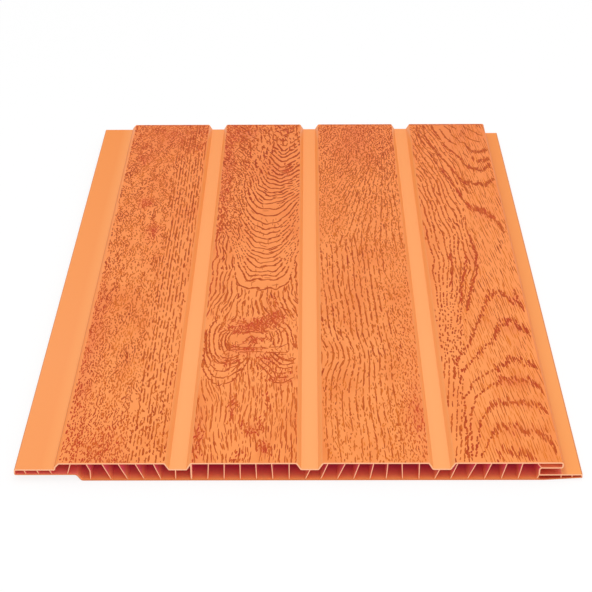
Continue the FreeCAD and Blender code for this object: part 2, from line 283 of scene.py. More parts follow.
def extrudedPvc(p):
    # Edges are in millimetres from the panel's middle and from the back face; the tones change over a few
    # tenths of a millimetre beside each of them.
    foot, slotBack, lipEnd, stepStart, taperStart = [
        section[name] - halfWidth for name in ("foot", "slotBack", "lipEnd", "raisedEnd", "taperStart")]
    grooveFloor, slotFloor, slotTop = [section[name] for name in ("grooveFloor", "slotFloor", "slotTop")]
    landWidth, landPitch = section["landWidth"], section["landPitch"]
    landMiddle = landLeft(0) + landWidth / 2
    tones = {name: linear(value) for name, value in p.items() if isinstance(value, str)}
    material, tree = newMaterial("extrudedPvc")
    place = addNode(tree, "ShaderNodeTexCoord").outputs["Object"]
    x, y, z = addNode(tree, "ShaderNodeSeparateXYZ", None, {0: place}).outputs
    toSide = addNode(tree, "ShaderNodeMath", {"operation": "ABSOLUTE"}, {0: x}).outputs[0]
    toEnd = addNode(tree, "ShaderNodeMath", {"operation": "ABSOLUTE"}, {0: y}).outputs[0]
    towardBack = (y, -halfLength / 2, halfLength)

    # Ground of the lands: soft patches of deeper print, and stains that the same noise breaks up.
    stretched = addNode(tree, "ShaderNodeMapping", None,
                        {"Vector": place, "Scale": (1.0, p["cloudStretch"], 1.0)})
    clouds = addNode(tree, "ShaderNodeTexNoise", None, {
        "Vector": stretched.outputs[0], "Scale": 1 / (p["cloudSize"] * mm), "Detail": 3.0, "Roughness": 0.6,
    }).outputs["Fac"]
    patches, mottled = [addNode(tree, "ShaderNodeMapRange", None, {
        "Value": clouds, "From Min": low, "From Max": high, "To Min": least, "To Max": most,
    }).outputs[0] for low, high, least, most in (p["cloudNoise"], p["stainNoise"])]
    stained = 0.0
    for number, across, along, reachAcross, reachAlong, strength in stains:
        middle = ((landLeft(number) + across) * mm, (along - halfLength) * mm, showFace * mm)
        moved = addNode(tree, "ShaderNodeMapping", {"vector_type": "TEXTURE"}, {
            "Vector": place, "Location": middle, "Scale": (reachAcross * mm, reachAlong * mm, 1.0),
        })
        ball = addNode(tree, "ShaderNodeTexGradient", {"gradient_type": "QUADRATIC_SPHERE"},
                       {"Vector": moved.outputs[0]})
        weaker = addNode(tree, "ShaderNodeMath", {"operation": "MULTIPLY"},
                         {0: ball.outputs["Fac"], 1: strength}).outputs[0]
        stained = addNode(tree, "ShaderNodeMath", {"operation": "MAXIMUM"},
                          {0: stained, 1: weaker}).outputs[0]
    broken = addNode(tree, "ShaderNodeMath", {"operation": "MULTIPLY"}, {0: stained, 1: mottled}).outputs[0]
    land = paintOver(tree, tones["land"], [
        (tones["farLand"], p["farLandShare"], towardBack),
        (tones["cloud"], patches),
        (tones["stain"], broken),
    ])

    # The cells and the slot lie under the show side's skin and over the back's. Their top goes down and
    # up with the grooves, by the distance from the nearest land's middle, and the tongue's top is that of
    # the groove which would stand left of the first land.
    underLand, underGroove, underSlot = [
        height - p["intoShowSkin"] for height in (showFace, grooveFloor, slotFloor)]
    overBack, overRaised, overTaper = [
        height + p["intoBackSkin"] for height in (0.0, section["raisedBack"], section["taperLift"])]
    grooveMiddle = landLeft(0) - (landPitch - landWidth) / 2
    held = addNode(tree, "ShaderNodeMath", {"operation": "MAXIMUM"}, {0: x, 1: grooveMiddle * mm}).outputs[0]
    fromFirst = addNode(tree, "ShaderNodeMath", {"operation": "SUBTRACT"}, {0: held, 1: landMiddle * mm})
    fromNearest = addNode(tree, "ShaderNodeMath", {"operation": "PINGPONG"},
                          {0: fromFirst.outputs[0], 1: landPitch / 2 * mm}).outputs[0]
    cellTop, flangeTop, stepBottom, taperBottom = [addNode(tree, "ShaderNodeMapRange", None, {
        "Value": value, "From Min": low * mm, "From Max": high * mm,
        "To Min": first * mm, "To Max": last * mm,
    }).outputs[0] for value, low, high, first, last in (
        (fromNearest, landWidth / 2, landWidth / 2 + section["landSide"], underLand, underGroove),
        (x, lipEnd - 0.55, lipEnd - 0.45, underLand, underSlot),
        (x, stepStart - 0.05, stepStart - 0.05 + section["raisedSlope"], overRaised, overBack),
        (x, taperStart, halfWidth, overBack, overTaper),
    )]
    top, bottom = [addNode(tree, "ShaderNodeMath", {"operation": operation}, {0: one, 1: other}).outputs[0]
                   for operation, one, other in (
                       ("MINIMUM", cellTop, flangeTop), ("MAXIMUM", stepBottom, taperBottom))]
    inside = 1.0
    for operation, value, limit in (
        ("LESS_THAN", z, top),
        ("GREATER_THAN", z, bottom),
        ("LESS_THAN", toSide, (halfWidth - p["intoShowSkin"]) * mm),
    ):
        passed = addNode(tree, "ShaderNodeMath", {"operation": operation}, {0: value, 1: limit})
        inside = addNode(tree, "ShaderNodeMath", {"operation": "MULTIPLY"},
                         {0: inside, 1: passed.outputs[0]}).outputs[0]

    # Walls, whose tones are painted light and shade: the mouth's tone, the deep one further in and higher up,
    # the flange's flat cells and the slot.
    inward, upward = [addNode(tree, "ShaderNodeMapRange", None, {
        "Value": value, "From Min": low * mm, "From Max": high * mm, "To Max": most,
    }).outputs[0] for value, low, high, most in (
        (toEnd, halfLength, halfLength - p["mouthDepth"], 1.0), (z, *p["deepHeights"], p["upperDeep"]),
    )]
    deep = addNode(tree, "ShaderNodeMath", {"operation": "MAXIMUM"}, {0: inward, 1: upward}).outputs[0]
    besideSlot = (x, slotBack - 0.05, slotBack + 0.15)
    inSlot = (
        (x, slotBack - 0.05, slotBack + 0.05), (x, lipEnd + 0.15, lipEnd - 2.35),
        (z, slotFloor - 0.1, slotFloor - 0.05), (z, slotTop + 0.1, slotTop + 0.05),
    )
    walls = paintOver(tree, tones["mouth"], [
        (tones["deep"], deep),
        (tones["mouth"], 1 - p["lipDeep"], besideSlot, (z, slotTop - 0.04, slotTop)),
        # Painted shade in the flange's flat cells.
        (tones["thin"], 1.0, besideSlot, (z, slotFloor + 0.1, slotFloor - 0.1)),
        (tones["shade"], 1.0, *inSlot),
    ])
    # The painted glow: the walls' tones inside the cells, and none in the slot.
    black = (0.0, 0.0, 0.0, 1.0)
    lit = paintOver(tree, black, [(walls, inside), (black, 1.0, *inSlot)])

    # All tones in the order of their coats: grooves, tongue and flange with painted light, painted shade on
    # the lands' right slopes, the lands, painted shade on the first land's left slope and on the lip's edge,
    # the thin dark lines of painted shade, the walls of the cells and the sawn ends.
    fromLeft = addNode(tree, "ShaderNodeMath", {"operation": "SUBTRACT"}, {0: x, 1: landLeft(0) * mm})
    fromLand = addNode(tree, "ShaderNodeMath", {"operation": "FLOORED_MODULO"},
                       {0: fromLeft.outputs[0], 1: landPitch * mm}).outputs[0]
    overBottom = addNode(tree, "ShaderNodeMath", {"operation": "SUBTRACT"}, {0: z, 1: bottom}).outputs[0]
    joint = paintOver(tree, tones["joint"], [
        # Painted light on the flange clear of the lip.
        (tones["flange"], 1.0, (x, lipEnd + 1.15, lipEnd + 2.65)),
        (tones["far"], p["farJoint"], towardBack),
        (tones["byFoot"], p["byFootShare"], (x, foot - 0.15 - p["byFootReach"], foot - 0.15), (x, 0.0, -1.0)),
    ])
    # Sawn ends: bare plastic, with painted shade on the lower skin.
    sawn = paintOver(tree, tones["sawnLowShade"], [(tones["sawn"], 1.0, (overBottom, *p["lowSkin"]))])
    color = paintOver(tree, tones["groove"], [
        (tones["far"], p["farGroove"], towardBack),
        (joint, 1.0, (x, foot + 0.25, foot - 0.15)),
        (joint, 1.0, (x, lipEnd - 0.45, lipEnd - 0.05)),
        # Painted shade down each land's right slope.
        (tones["slopeShade"], p["slopeShadeShare"], (fromLand, landWidth - 0.1, landWidth + 0.1),
         (fromLand, landWidth + 2.3, landWidth + 2.1), (z, grooveFloor + 0.1, grooveFloor + 0.4)),
        (land, 1.0, (z, showFace - 0.5, showFace - 0.1)),
        # Painted shade on the first land's left slope.
        (tones["slope"], 1.0, (x, foot + 0.15, foot + 0.35), (x, landLeft(0) + 0.35, landLeft(0) + 0.05)),
        # Painted shade on the lip's edge.
        (tones["lip"], 1.0, (x, lipEnd - 1.05, lipEnd - 0.65), (z, slotTop - 1.6, slotTop - 0.6)),
        # Painted shade: thin dark lines at the first land's foot, along the two outer edges and on the flange
        # beside the lip.
        (tones["creaseShade"], 1.0, (x, foot - 0.2, foot - 0.05), (x, foot + 0.5, foot + 0.35),
         (z, grooveFloor - 0.6, grooveFloor - 0.4)),
        (tones["creaseShade"], 1.0, (toSide, halfWidth - 0.65, halfWidth - 0.5)),
        (tones["creaseShade"], p["shadeBesideLip"], (x, lipEnd - 0.05, lipEnd + 0.15),
         (x, lipEnd + 2.55, lipEnd + 1.35)),
        (walls, inside),
        (sawn, 1.0, (toEnd, halfLength - 0.2, halfLength - 0.05)),
    ])

    # Faint lines along the panel, from the die.
    lines = addNode(tree, "ShaderNodeMapping", None, {"Vector": place, "Scale": (1.0, p["dieStretch"], 1.0)})
    drawn = addNode(tree, "ShaderNodeTexNoise", None, {
        "Vector": lines.outputs[0], "Scale": 1 / (p["dieLines"] * mm), "Detail": 2.0,
    }).outputs["Fac"]
    relief = addNode(tree, "ShaderNodeBump", None,
                     {"Strength": p["dieStrength"], "Distance": p["dieDepth"] * mm, "Height": drawn})
    shader = addNode(tree, "ShaderNodeBsdfPrincipled", None, {
        "Base Color": color,
        "Roughness": p["roughness"],
        "IOR": p["ior"],
        "Specular IOR Level": p["specular"],
        # Painted light: a faint glow of the cells' walls.
        "Emission Color": lit,
        "Emission Strength": p["glowThroughSkin"],
        "Normal": relief.outputs[0],
    })
    addNode(tree, "ShaderNodeOutputMaterial", None, {"Surface": shader.outputs[0]})
    return material


# Printing ink in the embossed grain. It gives the eye brown dashes that shine less than the plastic
# round them; thin ink is more orange, and in places it has a red cast.
ink = {
    "thin": "#E27A26",
    "full": "#9E3604",
    "red": "#C03C1C",
    "roughness": 0.6,
    "ior": 1.5,
    "specular": 0.12,
}


def grainInk(p):
    material, tree = newMaterial("grainPrintingInk")
    strength = addNode(tree, "ShaderNodeAttribute", {"attribute_name": "ink"}).outputs["Fac"]
    blush = addNode(tree, "ShaderNodeAttribute", {"attribute_name": "blush"}).outputs["Fac"]
    color = paintOver(tree, linear(p["thin"]), [(linear(p["full"]), strength), (linear(p["red"]), blush)])
    shader = addNode(tree, "ShaderNodeBsdfPrincipled", None, {
        "Base Color": color,
        "Roughness": p["roughness"],
        "IOR": p["ior"],
        "Specular IOR Level": p["specular"],
    })
    addNode(tree, "ShaderNodeOutputMaterial", None, {"Surface": shader.outputs[0]})
    return material


# Grain: each land has its own figures, drawn as short strokes that stand a little proud. Places are in
# millimetres on the land: a runs across it from its left edge, v along it from the front end.
grain = {
    "seed": 7,
    "border": 0.25,  # the strokes' centre lines keep this far off a land's two sides
    "endBorder": 0.3,  # and this far off its ends
    "sideGuard": 0.1,  # the strokes' outer points keep this far off the sides
    "endGuard": 0.05,
    "proud": 0.05,  # crest of a stroke over the show face
    "sunk": 0.02,  # its flat underside below the show face
    "shoulder": 0.85,  # width a quarter of the way from each end, as a share of the middle
    "lengthSpread": 0.35,  # chance share by which single strokes differ from their figure
    "widthSpread": 0.2,
    "inkSpread": 0.18,
    "blushRange": (0.4, 1.2),  # single strokes have this many times their figure's red cast
    "loose": (0.1, 0.1),  # shake across and along, where a figure gives none
}


def drift(a, v, seed, reachA, reachV):
    # Smooth wandering: the sum of six sine waves of random heading, each about a reach long, over 2.6,
    # which brings it to between about -1 and 1.
    dice = np.random.default_rng(seed)
    total = 0.0
    for turn, start, often in dice.uniform((0, 0, 0.7), (np.pi, 2 * np.pi, 1.5), (6, 3)):
        along = a * np.cos(turn) / reachA + v * np.sin(turn) / reachV
        total = total + np.sin(2 * np.pi * often * along + start)
    return total / 2.6


def ramp(value, low, high):
    # The value's way from low to high, from 0 to 1. Low may be the larger of the two.
    return np.clip((value - low) / (high - low), 0, 1)


def spot(a, v, midA, midV, reachA, reachV):
    # A soft round patch: 1 in its middle, about a third at its reach.
    return np.exp(-((a - midA) / reachA) ** 2 - ((v - midV) / reachV) ** 2)


def spotSum(a, v, spots):
    # Several such patches added up, each given by its strength, middle and reach.
    return sum(strength * spot(a, v, *place) for strength, *place in spots)


def slopeOf(rows, a, v):
    # How fast the row number grows across and along, from its values 0.1 mm to each side.
    near = 0.1
    across = (rows(a + near, v) - rows(a - near, v)) / (2 * near)
    along = (rows(a, v + near) - rows(a, v - near)) / (2 * near)
    return across, along


def valueAt(setting, a, v):
    # A figure's setting is one number, or a function of the place on the land.
    return setting(a, v) if callable(setting) else np.full(a.shape, float(setting))


def rowStrokes(figure, dice):
    # Centres on a shaken grid, thinned by the figure's share. Some are moved onto the nearest row, where
    # the row number is whole: each step goes straight across the rows by what is missing, over how fast
    # the row number grows. Strokes run along the rows, unless the figure gives them a lean. The safe
    # amount keeps a place where the rows stand still from dividing by nothing.
    steps, longestStep, nearRow, safe = 6, 1.2, 0.1, 1e-4
    gridA, gridV = figure["grid"]
    a, v = np.meshgrid(np.arange(0, section["landWidth"], gridA), np.arange(0, 2 * halfLength, gridV))
    a = (a + dice.uniform(0, gridA, a.shape)).ravel()
    v = (v + dice.uniform(0, gridV, v.shape)).ravel()
    kept = dice.random(a.size) < figure["where"](a, v)
    a, v = a[kept], v[kept]
    rows = figure["rows"]
    row = np.round(rows(a, v))
    moved = dice.random(a.size) < valueAt(figure["onRow"], a, v)
    for _ in range(steps):
        across, along = slopeOf(rows, a, v)
        miss = (rows(a, v) - row) / (across ** 2 + along ** 2 + safe)
        a = np.where(moved, a - np.clip(miss * across, -longestStep, longestStep), a)
        v = np.where(moved, v - np.clip(miss * along, -longestStep, longestStep), v)
    reached = ~moved | (np.abs(rows(a, v) - row) < nearRow)

    def headingAt(placeA, placeV):
        if "lean" in figure:
            return np.radians(valueAt(figure["lean"], placeA, placeV))
        across, along = slopeOf(rows, placeA, placeV)
        return np.arctan2(-along, across)

    return shapeStrokes(figure, a[reached], v[reached], headingAt, dice)


def curveStrokes(figure, dice):
    # Centres an even step apart along each of the figure's curves, which run straight from point to
    # point. Strokes run the way that the curve takes over a few millimetres, or have the figure's lean.
    near = 1.5
    places = []
    for curve in figure["curves"]:
        cornerA, cornerV = np.array(curve, float).T
        reach = np.concatenate([[0], np.cumsum(np.hypot(np.diff(cornerA), np.diff(cornerV)))])
        at = np.arange(dice.uniform(0, figure["every"]), reach[-1], figure["every"])
        a, v = np.interp(at, reach, cornerA), np.interp(at, reach, cornerV)
        towardA = np.interp(at + near, reach, cornerA) - np.interp(at - near, reach, cornerA)
        towardV = np.interp(at + near, reach, cornerV) - np.interp(at - near, reach, cornerV)
        places.append((a, v, np.arctan2(towardA, towardV)))
    a, v, heading = np.concatenate(places, axis=1)
    if "lean" in figure:
        heading = np.radians(valueAt(figure["lean"], a, v))
    return shapeStrokes(figure, a, v, lambda placeA, placeV: heading, dice)


def shapeStrokes(figure, a, v, headingAt, dice):
    # Shakes the centres, then goes from each by two steps of a quarter length, both ways along the
    # heading. Strokes whose centre falls past the land's border are left out.
    looseA, looseV = figure.get("loose", grain["loose"])
    a = a + dice.normal(0, looseA, a.size)
    v = v + dice.normal(0, looseV, a.size)
    turn = np.radians(dice.normal(0, 1, a.size) * valueAt(figure["spread"], a, v))
    length = valueAt(figure["length"], a, v) * np.exp(dice.normal(0, grain["lengthSpread"], a.size))
    width = valueAt(figure["width"], a, v) * np.exp(dice.normal(0, grain["widthSpread"], a.size))

    def stepFrom(placeA, placeV, sign):
        heading = headingAt(placeA, placeV) + turn
        reach = sign * length / 4
        return placeA + np.sin(heading) * reach, placeV + np.cos(heading) * reach

    ahead = stepFrom(a, v, 1)
    behind = stepFrom(a, v, -1)
    line = np.array([stepFrom(*behind, -1), behind, (a, v), ahead, stepFrom(*ahead, 1)]).transpose(2, 0, 1)
    strength = np.clip(valueAt(figure["ink"], a, v) + dice.normal(0, grain["inkSpread"], a.size), 0, 1)
    blush = np.clip(valueAt(figure["blush"], a, v) * dice.uniform(*grain["blushRange"], a.size), 0, 1)
    side, end = grain["border"], grain["endBorder"]
    fits = (a > side) & (a < section["landWidth"] - side) & (v > end) & (v < 2 * halfLength - end)
    return line[fits], width[fits], strength[fits], blush[fits]


# Points of one stroke: its tail, its left side, crest and right side at three stations, and its head.
tail, crests, head = 0, [2, 5, 8], 10
strokePoints = head + 1


def strokeFaces(count):
    # The triangles of one closed spindle, repeated for every stroke.
    faces = [(tail, 2, 1), (tail, 3, 2), (tail, 1, 3)]
    for start in (1, 4):
        for first, second in ((0, 1), (1, 2), (2, 0)):
            faces += [(start + first, start + second, start + second + 3)]
            faces += [(start + first, start + second + 3, start + first + 3)]
    faces += [(head, 7, 8), (head, 8, 9), (head, 9, 7)]
    return (np.array(faces)[None] + strokePoints * np.arange(count)[:, None, None]).reshape(-1, 3)


def grainPiece(name, number, figures, material):
    # All strokes of one land in one mesh. A stroke's width is nothing at its two ends, a shoulder's
    # width a quarter of the way in, and full in the middle. Its crest runs along the centre line, and
    # its sides lie half the width off that line, square to it.
    dice = np.random.default_rng(grain["seed"] + number)
    drawn = [(curveStrokes if "curves" in figure else rowStrokes)(figure, dice) for figure in figures]
    line, width, strength, blush = [np.concatenate(parts) for parts in zip(*drawn)]
    count = len(line)
    land = np.array([section["landWidth"], 2 * halfLength])
    border = np.array([grain["border"], grain["endBorder"]])
    guard = np.array([grain["sideGuard"], grain["endGuard"]])
    line = np.clip(line, border, land - border)
    toward = line[:, 2:] - line[:, :-2]
    toward /= np.linalg.norm(toward, axis=2, keepdims=True) + 1e-9  # some strokes are squeezed to a point
    side = np.stack([toward[..., 1], -toward[..., 0]], axis=2)
    share = np.array([grain["shoulder"], 1, grain["shoulder"]])
    half = (width[:, None] * share / 2)[..., None] * side
    points = np.empty((count, strokePoints, 3))
    points[:, tail, :2] = line[:, 0]
    points[:, head, :2] = line[:, 4]
    for station, crest in enumerate(crests):
        points[:, crest - 1, :2] = line[:, 1 + station] - half[:, station]
        points[:, crest, :2] = line[:, 1 + station]
        points[:, crest + 1, :2] = line[:, 1 + station] + half[:, station]
    points[..., :2] = np.clip(points[..., :2], guard, land - guard)
    points[..., 2] = showFace - grain["sunk"]
    points[:, crests, 2] = showFace + grain["proud"]
    points[..., 0] += landLeft(number)
    points[..., 1] -= halfLength
    mesh = bpy.data.meshes.new(name)
    mesh.from_pydata(points.reshape(-1, 3) * mm, [], strokeFaces(count))
    for title, values in (("ink", strength), ("blush", blush)):
        layer = mesh.attributes.new(title, "FLOAT", "POINT")
        layer.data.foreach_set("value", np.repeat(values, strokePoints).astype(np.float32))
    mesh.materials.append(material)
    piece = bpy.data.objects.new(name, mesh)
    bpy.context.scene.collection.objects.link(piece)
    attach(piece, "root")
    print(name, count, "strokes", len(mesh.polygons), "triangles")


# In a figure, strokes stand on a grid, at the share of its places that "where" gives, or every so often
# along drawn curves. "onRow" is the share that is moved onto the nearest row. Headings are in degrees
# from the panel's length, to the right as one goes back: "lean" is one for all strokes and "spread" the
# chance turn. "loose" is the shake across and along. "length", "width", "grid" and "every" are in
# millimetres. "ink" and "blush", the red cast, go from 0 to 1.

# The print ends in short dark dashes along the back edge of every land.
backEdge = {
    "curves": [[(1.2, 398.9), (49.2, 398.9)]], "every": 1.5, "spread": 12, "lean": 80, "loose": (0.3, 0.2),
    "length": 1.9, "width": 1.1, "ink": 0.8, "blush": 0.2,
}


# First land: dense speckle, with straight rows of dashes down its right side.
def firstRows(a, v):
    # Rows 1.78 mm apart along the panel, which wander by a fifth of that.
    return a / 1.78 + 0.2 * drift(a, v, 11, 30, 160)


def firstWander(a, v):
    # Rows 1.5 mm apart along the panel, which wander by half of that.
    return a / 1.5 + 0.5 * drift(a, v, 12, 14, 30)


def speckleShare(a, v):
    # Thick and patchy. At the right it makes room for the rows, but not at the back end.
    share = 0.84 + 0.14 * ramp(v, 160, 100) - 0.68 * ramp(a, 29, 35) * ramp(v, 375, 325)
    patchy = 0.9 + (0.5 - 0.15 * ramp(v, 160, 100)) * drift(a, v, 13, 9, 26)
    return share * (patchy - 0.15 * spot(a, v, 25, 230, 8, 90))


def speckleBlush(a, v):
    # Redder along the front left edge, at three spots and at the back end.
    spots = ((0.4, 18, 15, 22, 40), (0.8, 17, 278, 5, 9), (0.7, 25, 240, 4, 12))
    return 0.2 + 0.5 * ramp(a, 16, 2) * ramp(v, 230, 150) + spotSum(a, v, spots) + 0.35 * ramp(v, 300, 380)


firstLand = [
    {
        "rows": firstWander,
        "where": speckleShare,
        "grid": (1.05, 1.9), "onRow": 0.2, "spread": lambda a, v: 11 + 20 * ramp(v, 220, 330),
        "length": lambda a, v: 3.0 - 0.5 * ramp(v, 160, 100),
        "width": lambda a, v: 0.82 + 0.14 * ramp(v, 180, 340),
        "ink": lambda a, v: 0.46 + 0.2 * drift(a, v, 14, 15, 40) + 0.2 * ramp(a, 14, 2)
        + 0.14 * ramp(v, 150, 330) - 0.1 * ramp(v, 300, 380),
        "blush": speckleBlush,
    },
    {
        "rows": firstRows,
        "where": lambda a, v: ramp(a, 30, 34) * (0.95 - 0.55 * ramp(v, 340, 385)),
        "grid": (1.78, 4.5), "onRow": 1, "spread": 2.5,
        "length": lambda a, v: 5.4 + 2.2 * ramp(v, 150, 250),
        "width": lambda a, v: 0.98 - 0.5 * ramp(a, 49.2, 49.9),
        "ink": lambda a, v: 0.66 + 0.14 * ramp(v, 120, 260) - 0.35 * ramp(a, 49.2, 49.9), "blush": 0.15,
    },
    {
        "rows": firstWander,
        "where": lambda a, v: spotSum(a, v, (
            (0.9, 17.5, 278, 3, 5), (0.8, 24.5, 241, 2.5, 8), (0.5, 41, 365, 8, 14), (0.45, 11, 344, 4, 12),
            (0.4, 38, 390, 12, 6), (0.35, 18, 12, 10, 14),
        )),
        "grid": (1.0, 1.8), "onRow": 0.0, "spread": 14,
        "length": 3.0, "width": 0.95, "ink": 0.3, "blush": 0.85,
    },
]


# Second land: nested bowls at the back, a knot with rings that sag into two lobes, and long tails.
# Each bowl's lowest point, from the front one back:
bowlLows = (
    163, 169, 179, 184, 189, 195, 200, 205.5, 211, 216.5, 223.5, 230, 236.5, 242.5, 250, 260, 269, 277, 283,
    289, 294, 299, 304, 309, 314, 319, 324.5, 331, 339, 346, 352, 358, 365, 373, 381.5, 391,
)


def bowlRows(a, v):
    # Number of the bowl through a place. To both sides of its lowest point a bowl rises with the distance
    # to the power of 2.3, and the front ones have a flat bottom. Towards the back they turn into wedges:
    # straight sides and a rounded bottom. In front of the first low and behind the last one the numbers
    # go on, 6 to 7 mm apart.
    side = a - np.interp(v, (170, 280, 310, 340), (30, 32, 37, 39.5))
    side = np.sign(side) * np.maximum(np.abs(side) - 6 * ramp(v, 205, 172), 0)
    left = np.interp(v, (170, 300), (0.11, 0.095))
    right = np.interp(v, (170, 280, 305), (0.12, 0.1, 0.06))
    bowl = np.where(side < 0, left, right) * 225 * (np.abs(side) / 15) ** 2.3
    wedge = np.where(side < 0, 2.1, 1.6) * (np.sqrt(side ** 2 + 4) - 2)
    rise = bowl + (wedge - bowl) * ramp(v, 306, 334)
    height = v - rise + 0.9 * drift(a, v, 21, 10, 30)
    rows = np.concatenate([[-80], np.arange(len(bowlLows)), [len(bowlLows) + 30]])
    return np.interp(height, (-317,) + bowlLows + (598,), rows)


def bowlGap(a, v):
    # Distance from one bowl to the next, in millimetres.
    return 1 / np.maximum(np.hypot(*slopeOf(bowlRows, a, v)), 0.2)


def onBowl(a, v):
    # 1 from the first bowl to the last, 0 in front of them and behind them.
    return (bowlRows(a, v) > 0.6) * (bowlRows(a, v) < len(bowlLows) + 0.4)


def pillarRows(a, v):
    # Rows 2.75 mm apart that lean a little to the left towards the back, and wander.
    return (a + 0.08 * (v - 370)) / 2.75 + 0.35 * drift(a, v, 28, 12, 22)


def pillarShare(a, v):
    # Left of the wedges, and behind them.
    return np.maximum(ramp(v, 318, 350) * ramp(a, 34, 30), ramp(v, 352, 368)) * ramp(a, 10, 18)


def tailRows(a, v):
    # Rows 2.5 mm apart along the panel. Those at the left lean a little to the left towards the back.
    return (a + 0.1 * np.clip(v - 40, -40, 30) * ramp(a, 24, 4)) / 2.5 + 0.3 * drift(a, v, 24, 14, 50)


def thinTailRows(a, v):
    # The same rows, 1.7 times as close.
    return 1.7 * tailRows(a, v)


def tailShare(a, v):
    # In front of the knot, and in the land's middle up to its lower edge.
    reach = v - 22 * spot(a, 0, 25, 0, 6, 1)
    return ramp(reach, 77, 69) * (0.8 + 0.3 * drift(a, v, 26, 10, 30))


def bowlWidth(a, v):
    # Half the gap between two bowls, between limits that grow towards the back.
    least = 0.85 + 0.15 * ramp(v, 290, 320)
    return np.clip(0.5 * bowlGap(a, v), least, 1.25 + 0.6 * ramp(v, 270, 320))


def splitRows(a, v):
    # Rows 2.4 mm apart to both sides of the land's middle. In front of the bowls they part to 3.4 mm.
    return (a - 25) * (1 - 0.3 * ramp(v, 165, 135)) / 2.4 + 0.4 * drift(a, v, 25, 14, 34)


# Reddish tangles: strength, middle and reach. They lie over and under the knot, in its heart and along
# the tails, and others lie at the back left.
tangles = (
    (0.95, 23, 126, 9, 6), (0.9, 32, 130, 6, 6), (0.9, 38, 138, 5, 9), (0.6, 16, 123, 3, 4),
    (0.75, 26.5, 112, 3.2, 3.5), (0.6, 32, 113, 2.5, 3), (0.75, 25, 103, 7, 1.8), (0.8, 34, 96, 5, 3.5),
    (0.35, 17, 105, 3, 3), (0.6, 15, 91, 5, 4), (0.45, 41, 76, 6, 7),
    (0.8, 18, 50, 1.8, 10), (0.7, 24, 32, 2.5, 3), (0.8, 28, 27, 3, 3), (0.8, 32.5, 32, 2.5, 5),
    (0.8, 34.5, 14, 3, 4), (0.6, 2, 20, 2.5, 12), (0.7, 21.5, 6, 1.8, 5), (0.6, 35, 56, 1.5, 9),
    (0.6, 37, 155, 2, 6),
)
backTangles = (
    (0.5, 3.5, 360, 3, 26), (0.4, 3, 280, 3, 40), (0.5, 10, 390, 8, 6), (0.5, 10, 374, 6, 5),
    (0.4, 18, 360, 4, 6), (0.4, 10, 331, 5, 5), (0.3, 42, 322, 5, 12), (0.3, 30, 395, 20, 8),
)


